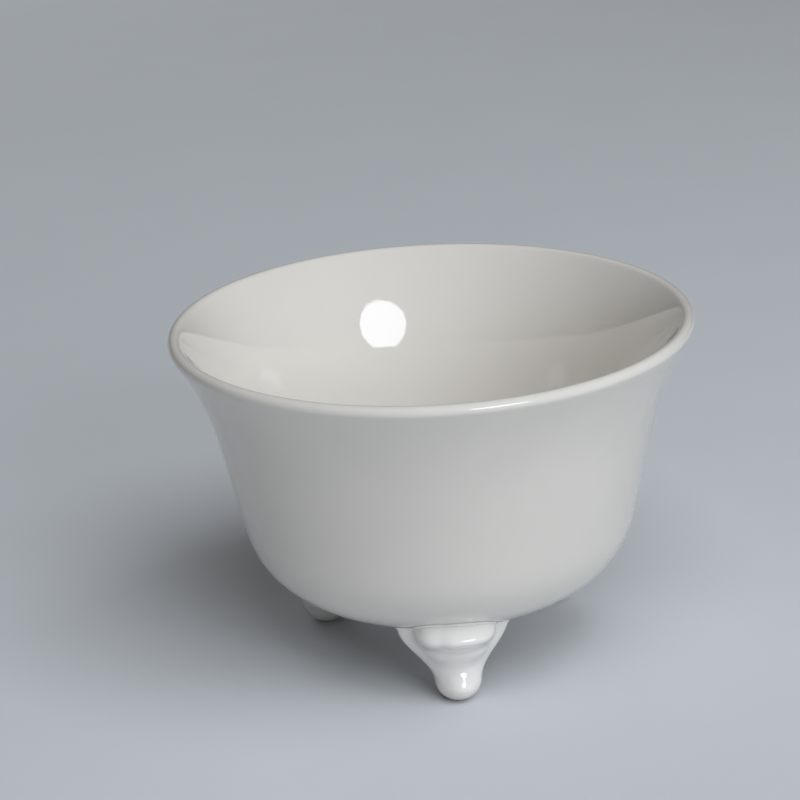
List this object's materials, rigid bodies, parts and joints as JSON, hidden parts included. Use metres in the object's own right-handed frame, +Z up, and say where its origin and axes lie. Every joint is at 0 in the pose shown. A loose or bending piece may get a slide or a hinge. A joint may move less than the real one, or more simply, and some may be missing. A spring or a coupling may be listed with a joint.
{
  "type": "footed porcelain bowl",
  "caption": "Round flared bowl of white glazed porcelain with a rounded lip, open at the top, standing on short moulded feet joined to its underside.",
  "frame": {"origin": "on the surface that the bowl stands on, on the axis of the bowl, midway between the feet", "axes": "+Z up along the axis of the bowl, -Y towards the front foot, +X to the right"},
  "size_m": [0.115, 0.115, 0.077],
  "materials": {
    "bowl_glaze": "clear glossy glaze over white porcelain",
    "foot_glaze": "clear glossy glaze, thicker in the hollows, wiped off the pads",
    "luting_slip": "fired slip under the same clear glaze"
  },
  "bodies": {
    "root": {"bowl": "bowl_glaze", "foot_front": "foot_glaze", "foot_right": "foot_glaze", "foot_left": "foot_glaze", "slip_front": "luting_slip", "slip_right": "luting_slip", "slip_left": "luting_slip"}
  },
  "joints": []
}
